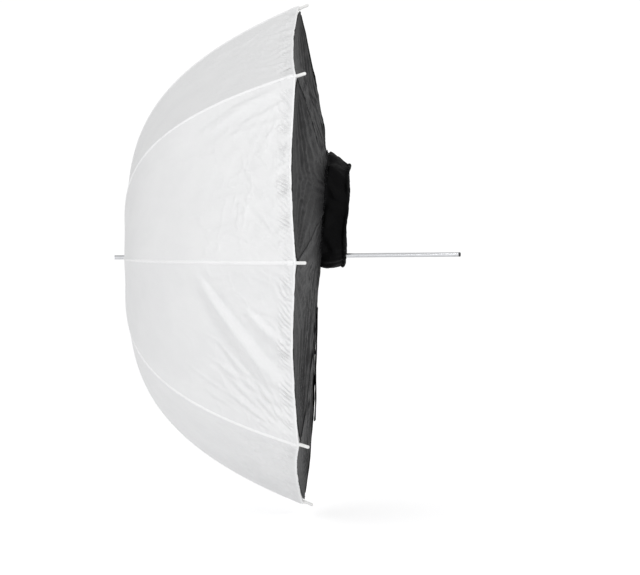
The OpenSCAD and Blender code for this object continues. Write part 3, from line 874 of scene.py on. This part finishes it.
def hem_bands(rib):
    """The gathered edge of two half gores: a turned hem with a corded edge and a row of stitches."""
    fine = 220
    angle = rib_angle(rib) - HALF + np.arange(-1, fine + 2) * STEP / fine
    hem = arc(hem_radius(angle))
    # Each row: distance up from the hem and height over the cloth, in millimetres.
    turned = [(-1.5, 0.0), (-1.15, 0.95), (-0.1, 1.4), (1.0, 1.1), (1.9, 0.62), (3.2, 0.5),
              (5.2, 0.52), (7.4, 0.52), (9.6, 0.5), (11.6, 0.42), (12.4, 0.2), (13.2, 0.3), (14.4, 0.24)]
    single = np.linspace(16.2, 27.6, 7)
    turned += [(up_from_hem, 0.225) for up_from_hem in single]
    inside = [(up_from_hem, -0.225) for up_from_hem in single[::-1]]
    inside += [(14.4, -0.3), (13.2, -0.75), (12.0, -0.8), (9.6, -0.8), (7.4, -0.8), (5.2, -0.8),
               (3.2, -0.8), (1.9, -0.85), (1.0, -1.2), (-0.1, -1.4), (-1.15, -0.95)]
    rows = [canopy_points(radius_at(hem - d * MM), angle, rise * MM) for d, rise in turned + inside]
    points = np.stack(rows, 1)
    across = np.stack([hem_radius(angle) * gore(angle) * np.sin(off_mid(angle))] * points.shape[1], 1)
    down = np.stack([hem - d * MM for d, _ in turned + inside], 1)
    second = np.broadcast_to(np.arange(len(rows)) >= len(turned), down.shape)
    places = np.stack([across, down, second], -1)
    closed = np.concatenate([points[:, -1:], points, points[:, :1]], 1)
    points, places = points[1:-1], places[1:-1]
    middle = len(points) // 2
    outside = rib_line(rib, np.array([RIB_LENGTH]), 0)[1][0]
    normals = turned_to(outside, outward(closed)[1:-1, 1:-1], (middle, 7))
    cols = points.shape[1]
    faces = quads(middle + 1, cols, wrap=True).tolist()
    faces += [list(range(cols))[::-1], list(range(middle * cols, (middle + 1) * cols))]
    a, b, c = points[middle, 7], points[middle, 8], points[middle + 1, 8]
    if np.dot(np.cross(b - a, c - a), normals[middle, 7]) < 0:
        faces = [face[::-1] for face in faces]
    # The corded edge is one strip of faces and the turned cloth the rest.
    cord_columns = {0, 1, 2, 3, cols - 1, cols - 2, cols - 3}
    row = canopy_points(radius_at(hem[1:-1] - 12.4 * MM), angle[1:-1], 0.24 * MM)
    up = rib_line(rib, hem[1:-1] - 12.4 * MM, 0)[1]
    for side, name in SIDES:
        part = slice(middle, None) if side > 0 else slice(0, middle + 1)
        piece = Piece()
        piece.add(points[part], faces, 0, normals[part], places[part])
        for number, face in enumerate(faces):
            if len(face) == 4 and min(i % cols for i in face) in cord_columns:
                piece.slots[number] = 1
        stitches(piece, row[part], up[part], slot=2)
        made = piece.make(f"hem_{rib}_{name}", WHITE, BINDING, WHITE_THREAD)
        axis, anchor = fold_axis(rib, side, CUT_OUTER, RADIUS)
        settle(made, f"rib_{rib}_tip", axis, anchor, RINGS[-1][3])


def tip_pockets(rib):
    """The tab that ties the hem's corner to the rib's cap, with thread wound in the cap's groove."""
    piece = Piece()
    lengths = np.linspace(RIB_LENGTH - 15 * MM, RIB_LENGTH + 1.8 * MM, 26)
    out = (lengths - lengths[0]) / (lengths[-1] - lengths[0])
    drop = RIB_INSET - 3.3 * MM
    lift = 1.1 * MM - smooth(0.35, 1.0, out) * (1.1 * MM + drop)
    path, up = rib_line(rib, lengths, 0)
    path = path + up * lift[:, None]
    side, up = frame_along(path, up)
    wide = np.interp(out, [0, 0.5, 1], [5.4 * MM, 4.6 * MM, 2.9 * MM])
    sag = np.interp(out, [0, 0.6, 1], [0.32, 0.4, 0.62])
    shape = np.array([(-1, -0.35), (-1, 0.05), (-0.55, 0.42), (0, 0.55), (0.55, 0.42), (1, 0.05),
                      (1, -0.35), (0, -0.3)])
    outline = np.repeat(shape[None], len(lengths), 0)
    outline[..., 0] *= wide[:, None]
    outline[..., 1] *= 1.0 * MM
    outline[..., 1] -= np.abs(outline[..., 0]) * sag[:, None]
    sweep(piece, path, side, up, outline)
    for edge in (-0.72, 0.72):
        row = path + side * (wide * edge)[:, None] + up * (0.36 * MM - np.abs(edge) * wide * sag)[:, None]
        stitches(piece, row[1:-4], up[1:-4], pitch=2.6 * MM)
    centre, radial = rib_line(rib, np.array([RIB_LENGTH - 0.5 * MM, RIB_LENGTH + 0.5 * MM]), RIB_INSET)
    forward = unit(centre[1] - centre[0])
    axis = across_rib(rib)
    turns = 3
    wind = np.linspace(0, TURN * turns, 24 * turns + 1)
    coil = (centre.mean(0) + (np.cos(wind)[:, None] * radial[0] + np.sin(wind)[:, None] * axis) * 2.95 * MM
            + forward * ((wind / wind[-1] - 0.5) * 1.5 * MM)[:, None])
    coil_side, coil_up = frame_along(coil, coil - centre.mean(0))
    sweep(piece, coil, coil_side, coil_up, circle(0.3 * MM, 6), slot=1)
    made = piece.make(f"tip_pocket_{rib}", BINDING, WHITE_THREAD)
    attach(made, f"rib_{rib}_tip")


# ---------------- back cover
# How far the cover's rim lies inside the hem between ribs and at a rib's tip, and the cloth's thickness.
HEM_GAP = 1.6 * MM
TIP_GAP = RIB_INSET + 4.2 * MM
COVER = 0.6 * MM
# The closing squash of a strip: its lean towards the shaft and the share of width kept.
COVER_DIP = radians(9.5)
COVER_KEEP = 0.065


def root_tilt(angle):
    """The lamp pulls the top of the sleeve's root out a little and lets the bottom in."""
    return (0.5 + 9.5 * np.cos(angle)) * MM


def rim_inset(angle):
    """The cover's rim follows the hem and dips under each cap."""
    return HEM_GAP + (TIP_GAP - HEM_GAP) * (1 - sink_share(angle)) ** 4


def cover_relief(share, angle):
    """How far the cover stands out from the straight line between its rim and the sleeve."""
    low = (1 - np.cos(angle)) / 2
    slack = 2.0 * MM * np.sin(TURN * share) + 4.5 * MM * np.sin(pi * share)
    height = low * slack + (1 - low) * 2 * MM * np.sin(pi * share)
    height -= (1 - low) * 2 * MM * np.exp(-(((share - 0.93) / 0.045) ** 2))
    from_rib = HALF - np.abs(off_mid(angle))
    side = np.sign(off_mid(angle))
    distance = share * 0.35
    # Folds that fan out from each rib tip.
    turn = np.arctan2(from_rib / HALF * 0.17 * (1 - 0.7 * share), distance + 0.012)
    fan = np.cos(turn * 26 + side * 0.8 + 1.6 * noise(distance * 12, angle * 2.2, 91))
    window = smooth(0.03, 0.14, share) * (1 - smooth(0.55, 0.9, share)) * smooth(0.04, 0.16, turn)
    height += 1.5 * MM * fan * window * (1 - 0.5 * smooth(0.6, 1.2, turn))
    # Gathers that run into the sleeve.
    gathers = np.sin(angle * 48 + 3.0 * noise(angle * 7, share * 2, 92))
    gathers += 0.6 * np.sin(angle * 31 + 4 * noise(angle * 5, share * 1.5, 93))
    height += 0.85 * MM * gathers * smooth(0.35, 0.9, share) * (1 - 0.7 * smooth(0.95, 1.0, share))
    # Loose creases and slack.
    height += 2.2 * MM * crumple(angle * 13, share * 4.2, 94) * smooth(0.05, 0.3, share)
    height += 1.3 * MM * crumple(angle * 30, share * 7.0, 96) * smooth(0.05, 0.2, share)
    height += 1.6 * MM * noise(angle * 3.1, share * 3.2, 95) * smooth(0.1, 0.4, share)
    return height * smooth(0.0, 0.06, share) * (1 - smooth(0.975, 1.0, share))


def cover_points(share, angle, lift=0.0):
    """Points of the cover, from share 0 at its rim to share 1 at the sleeve."""
    share, angle = np.broadcast_arrays(np.asarray(share, float), np.asarray(angle, float))
    x, radial = rib_point(hem_radius(angle), rim_inset(angle))
    rim = around(x, radial * gore(angle), angle)
    root = around(ROOT_X + root_tilt(angle) - 0.4 * MM, ROOT_RADIUS + 1.0 * MM, angle)
    root = root + np.array([0, 0, ROOT_LIFT])
    points = rim + share[..., None] * (root - rim)
    points[..., 0] += cover_relief(share, angle) + lift
    return points


def cover_pieces():
    """Eight strips of the black cover, one hung from each rib tip, each in two halves."""
    columns, spare = 60, 2
    angle = -HALF + np.arange(-spare, RIBS * columns + spare + 1) * STEP / columns
    share = np.linspace(0, 1, 61) ** 0.95
    full = np.concatenate([[-0.01], share, [1.01]])
    wide, tall = np.meshgrid(angle, full)
    points = cover_points(tall, wide)
    normals = turned_to(X_AXIS, outward(points), (30, 30))
    points, normals = points[1:-1, spare:-spare], normals[1:-1, spare:-spare]
    wide, tall = wide[1:-1, spare:-spare], tall[1:-1, spare:-spare]
    distance = np.linalg.norm(points - points[:1], axis=-1)
    places = np.stack([(np.mod(wide, STEP) - HALF) * 0.3, distance, np.zeros_like(wide)], -1)
    for rib, side, name, part in half_gores(columns):
        piece = Piece()
        shell(piece, points[:, part], normals[:, part], places[:, part], COVER)
        add_cover_rim(piece, wide[0, part][0], wide[0, part][-1])
        if side > 0:
            add_cover_seam(piece, rib)
        made = piece.make(f"cover_{rib}_{name}", BLACK, BLACK_THREAD)
        # Each half's axis runs across the rib and leans in towards the shaft.
        axis = across_rib(rib) * cos(COVER_DIP)
        axis[0] = -side * sin(COVER_DIP)
        settle(made, f"cover_{rib}", axis, pivot(f"cover_{rib}_fold"), COVER_KEEP)
        if side > 0:
            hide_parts(f"back_cover_{rib}")


def add_cover_rim(piece, first, last):
    """The bound rim of the cover."""
    turn = np.linspace(first, last, 61)
    rim = cover_points(np.full_like(turn, 0.012), turn, COVER / 2 + 0.1 * MM)
    side, up = frame_along(rim, X_AXIS)
    sweep(piece, rim, side, up, circle(1.0 * MM, 8, 0.8))


def add_cover_seam(piece, rib):
    """The cover's seam under a rib: a low welt with stitches on both sides."""
    share = np.linspace(0.03, 0.985, 90)
    angle = np.full_like(share, rib_angle(rib))
    path = cover_points(share, angle, COVER / 2)
    side, up = frame_along(path, X_AXIS)
    welt = np.array([(-2.4, -0.4), (-2.3, 0.3), (-1.2, 0.62), (0, 0.85), (1.2, 0.62), (2.3, 0.3),
                     (2.4, -0.4)]) * MM
    sweep(piece, path, side, up, welt)
    for edge in (-1.7 * MM, 1.7 * MM):
        stitches(piece, path + side * edge + up * 0.5 * MM, up, pitch=3.8 * MM)


def cover_flap():
    """The flap that closes the cover's slit, with a sewn border and a square free end."""
    low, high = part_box("cover_flap")
    width = high[1] - low[1]
    rim = cover_points(0.0, pi)
    root = cover_points(1.0, pi)
    heights = np.linspace(low[2] - 4 * MM, high[2], 80)
    share = (rim[2] - heights) / (rim[2] - root[2])
    y = np.linspace(-0.5, 0.5, 25) * width
    tall, flat = np.meshgrid(share, y, indexing="ij")
    middle = cover_points(share, np.full_like(share, pi))
    smooth_x = np.convolve(np.pad(middle[:, 0], 6, mode="edge"), np.ones(13) / 13, "valid")
    edge = np.abs(flat) / (width / 2)
    wave = 0.7 * MM * np.sin(tall * 21 + flat * 60) + 0.4 * MM * noise(tall * 18, flat * 90, 97)
    x = smooth_x[:, None] + 2.6 * MM + wave + 0.9 * MM * smooth(0.75, 1.0, edge)
    points = np.stack([x, flat, np.broadcast_to(heights[:, None], flat.shape)], -1)
    normals = turned_to(X_AXIS, outward(points), (40, 12))
    piece = Piece()
    places = np.stack([flat, points[..., 2], np.zeros_like(flat)], -1)
    shell(piece, points, normals, places, 1.5 * MM)
    outer = points + normals * 0.85 * MM
    for column in (1, 4, -2, -5):
        stitches(piece, outer[1:-1, column], normals[1:-1, column], pitch=3.2 * MM)
    for row in (1, -2):
        stitches(piece, outer[row, 1:-1], normals[row, 1:-1], pitch=3.2 * MM)
    made = piece.make("cover_flap_cloth", SLEEVE, BLACK_THREAD)
    settle(made, "cover_5", across_rib(5), HUB, 0.3)
    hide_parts("cover_flap")


# ---------------- lamp sleeve
SECTORS = 16
SECTOR_COLUMNS = 20


def sleeve_grid():
    """Points and normals of the sleeve, from its sewn flange to the hem rolled round the elastic."""
    spare = 2
    columns = SECTORS * SECTOR_COLUMNS
    turn = np.arange(-spare, columns + spare + 1) * TURN / columns - pi / SECTORS
    curl = CORD + 1.7 * MM
    # Each row: share of the way from root to mouth, extra radius, extra distance along the shaft.
    rows = [(0, 7.5 * MM, -0.6 * MM), (0, 4.0 * MM, 0.3 * MM), (0, 1.2 * MM, 1.2 * MM)]
    rows += [(s, 5.5 * MM * sin(pi * s ** 0.8), 1.2 * MM * (1 - s))
             for s in np.linspace(0.06, 0.93, 22)]
    for k in range(11):
        a = radians(100 - 27 * k)
        rows.append((1.0, curl * sin(a), curl * cos(a)))
    rows = np.array(rows)
    share, wide, along = rows[:, 0][:, None], rows[:, 1][:, None], rows[:, 2][:, None]
    ring = turn[None]
    gathers = np.sin(ring * 32 + 5 * noise(ring * 5, share * 2, 101))
    gathers = gathers * (0.7 + 0.5 * noise(ring * 4, share, 105))
    folds = np.sin(ring * 13 + 3.2 * noise(ring * 4, share * 1.5, 102))
    slant = np.sin(ring * 7 + share * 5 + 2 * noise(ring * 3, share, 103))
    body = smooth(0.0, 0.12, share) * (1 - 0.35 * smooth(0.9, 1.0, share))
    relief = MM * (1.0 * gathers * smooth(0.35, 1.0, share) + 2.0 * folds * body * (1 - 0.6 * share)
                   + 3.0 * slant * body * (1 - 0.6 * share))
    relief = relief + 0.5 * MM * np.sin(ring * 60 + 3 * noise(ring * 9, share, 104)) * (share < 0.05)
    radius = ROOT_RADIUS + (MOUTH_RADIUS - ROOT_RADIUS) * share + wide + relief
    lift = ROOT_LIFT + (MOUTH_LIFT - ROOT_LIFT) * share
    tilt = root_tilt(ring) * (1 - 0.4 * share)
    rumple = 1.6 * MM * np.sin(ring * 5 + 1.0) * smooth(0.3, 1, share)
    ruffle = 0.4 * MM * gathers * smooth(0.6, 1, share)
    x = ROOT_X + (MOUTH_X - ROOT_X) * share + along + tilt + rumple + ruffle
    points = around(x, radius, np.broadcast_to(ring, x.shape))
    points[..., 2] += lift
    centre = around(np.full_like(x, 0.0), np.zeros_like(x), ring)
    centre[..., 0] = x
    centre[..., 2] += lift
    middle = (len(rows) // 2, 40)
    normals = turned_to(points[middle] - centre[middle], outward(points), middle)
    cord = np.stack([MOUTH_X + 0.6 * root_tilt(turn) + 1.6 * MM * np.sin(turn * 5 + 1.0),
                     -MOUTH_RADIUS * np.sin(turn), MOUTH_RADIUS * np.cos(turn) + MOUTH_LIFT], -1)
    cut = slice(spare, -spare)
    return points[:, cut], normals[:, cut], cord[cut], turn[cut]


def sleeve_pieces():
    """The sleeve in sectors, each riding on the root."""
    points, normals, cord, turn = sleeve_grid()
    distance = lengths_along(points[:, 0])
    for number in range(SECTORS):
        part = slice(number * SECTOR_COLUMNS, (number + 1) * SECTOR_COLUMNS + 1)
        piece = Piece()
        spread = np.broadcast_to((turn[part] * ROOT_RADIUS)[None], points[:, part].shape[:2])
        down = np.broadcast_to(distance[:, None], spread.shape)
        places = np.stack([spread, down, np.zeros_like(spread)], -1)
        shell(piece, points[:, part], normals[:, part], places, 0.9 * MM)
        path = cord[part]
        up = path - np.array([path[0, 0], 0, MOUTH_LIFT])
        side, up = frame_along(path, up)
        sweep(piece, path, side, up, circle(CORD, 10), slot=1)
        for row in (1, 3):
            lifted = points[row, part] + normals[row, part] * 0.6 * MM
            stitches(piece, lifted, normals[row, part], pitch=3.6 * MM, slot=2)
        made = piece.make(f"sleeve_sector_{number + 1}", SLEEVE, ELASTIC, BLACK_THREAD)
        middle = points[:, part].reshape(-1, 3).mean(0)
        reach = hypot(middle[1], middle[2])
        keep = min(1.0, (9 * MM + 0.065 * reach) / reach)
        settle(made, "root", (0.0, middle[1] / reach, middle[2] / reach), HUB, keep)
        if number == 0:
            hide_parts("lamp_sleeve", "sleeve_elastic")


# ---------------- carried-over nodes
NODE_MATERIALS = {
    "shaft_tube": CHROME, "shaft_plug": BLACK_PLASTIC, "tip_collar": COLLAR, "crown": BLACK_PLASTIC,
    "crown_wire": STEEL, "crown_pin": STEEL, "runner": BLACK_PLASTIC, "runner_wire": STEEL,
    "catch_spring": STEEL, "rib_clip": BLACK_PLASTIC, "rib_cap": WHITE_PLASTIC, "stretcher": STEEL,
}


def dress_nodes():
    """Gives each CAD node that stays visible its material."""
    for name, node in frame["nodes"].items():
        material = NODE_MATERIALS.get(name) or NODE_MATERIALS.get(name.rstrip("0123456789").rstrip("_"))
        if material is None:
            continue
        if not node.material_slots:
            node.data.materials.append(material)
        for place in node.material_slots:
            place.material = material


# ---------------- stage, light and camera
FLOOR_DROP = 14 * MM
FLOOR_HALF = 30.0
# Glow of the floor and of the surroundings, and what they add for the camera, which sees plain white.
FLOOR_GLOW, FLOOR_SEEN = 0.23, 0.21
WORLD_GLOW, WORLD_SEEN = 0.72, 0.34


def stage():
    """A pale floor and soft light from all round."""
    floor_z = cad_low[2] - FLOOR_DROP
    ends = (-FLOOR_HALF, FLOOR_HALF)
    points = np.array([[(x, -y, floor_z) for x in ends] for y in ends])
    piece = Piece()
    piece.add(points, quads(2, 2).tolist())
    n = Nodes("pale_floor", Roughness=0.75)
    grain = n.noise(n.place(), 0.4, 3.0)
    seen = n.node("LightPath", "Is Camera Ray")
    n.finish(Base_Color=n.ramp(grain, (0.80, 0.80, 0.805), (0.82, 0.82, 0.825)), Emission_Color=rgba(1),
             Normal=n.bump(n.noise(n.place(), 0.002), 0.05, 0.1 * MM),
             Emission_Strength=n.plus(n.times(seen, FLOOR_SEEN), FLOOR_GLOW))
    backdrop = piece.make("backdrop", n.material)

    world = bpy.data.worlds.new("studio")
    bpy.context.scene.world = world
    world.use_nodes = True
    nodes, links = world.node_tree.nodes, world.node_tree.links
    background = nodes["Background"]
    background.inputs["Color"].default_value = rgba(1)
    glow = nodes.new("ShaderNodeMath")
    glow.operation = "MULTIPLY_ADD"
    glow.inputs[1].default_value, glow.inputs[2].default_value = WORLD_SEEN, WORLD_GLOW
    links.new(nodes.new("ShaderNodeLightPath").outputs["Is Camera Ray"], glow.inputs[0])
    links.new(glow.outputs[0], background.inputs["Strength"])


def lights():
    """Three lamps, each with its place from the canopy's middle, its size and its power."""
    middle = Vector((HUB_X + DEPTH / 2, 0, 0))
    for name, place, size, power in (
            ("key_light", (1.0, -3.1, 2.0), (0.6, 0.6), 31.0),
            ("front_light", (-2.2, -3.0, 0.2), (1.4, 1.8), 10.0),
            ("rim_light", (2.4, -1.6, 1.2), (0.8, 1.6), 1.0)):
        data = bpy.data.lights.new(name, "AREA")
        data.shape, data.size, data.size_y, data.energy = "RECTANGLE", size[0], size[1], power
        lamp = bpy.data.objects.new(name, data)
        lamp.location = middle + Vector(place)
        lamp.rotation_mode = "QUATERNION"
        lamp.rotation_quaternion = (middle - lamp.location).to_track_quat("-Z", "Y")
        bpy.context.scene.collection.objects.link(lamp)


def camera_view():
    """The camera looks across the shaft, from a little above it and just behind the hem."""
    swing, rise, roll = radians(-0.84), radians(2.1), radians(0.5)
    distance, aim_along, aim_down, view_width = 6.0, 0.356, 0.056, 1.184
    look = Vector((sin(swing) * cos(rise), cos(swing) * cos(rise), -sin(rise)))
    right = Vector((cos(swing), -sin(swing), 0))
    up = right.cross(look)
    right, up = (right * cos(roll) - up * sin(roll),
                 up * cos(roll) + right * sin(roll))
    data = bpy.data.cameras.new("camera")
    data.lens = data.sensor_width * distance / view_width
    camera = bpy.data.objects.new("camera", data)
    aim = Vector(HUB) + right * aim_along - up * aim_down
    turn = Matrix((right, up, -look)).transposed().to_4x4()
    camera.matrix_world = Matrix.Translation(aim - look * distance) @ turn
    bpy.context.scene.collection.objects.link(camera)
    bpy.context.scene.camera = camera
    bpy.context.scene.view_settings.view_transform = "Standard"


canopy_pieces()
for number in range(1, RIBS + 1):
    rib_rods(number)
    rib_seams(number)
    hem_bands(number)
    tip_pockets(number)
cover_pieces()
cover_flap()
sleeve_pieces()
dress_nodes()
stage()
lights()
camera_view()
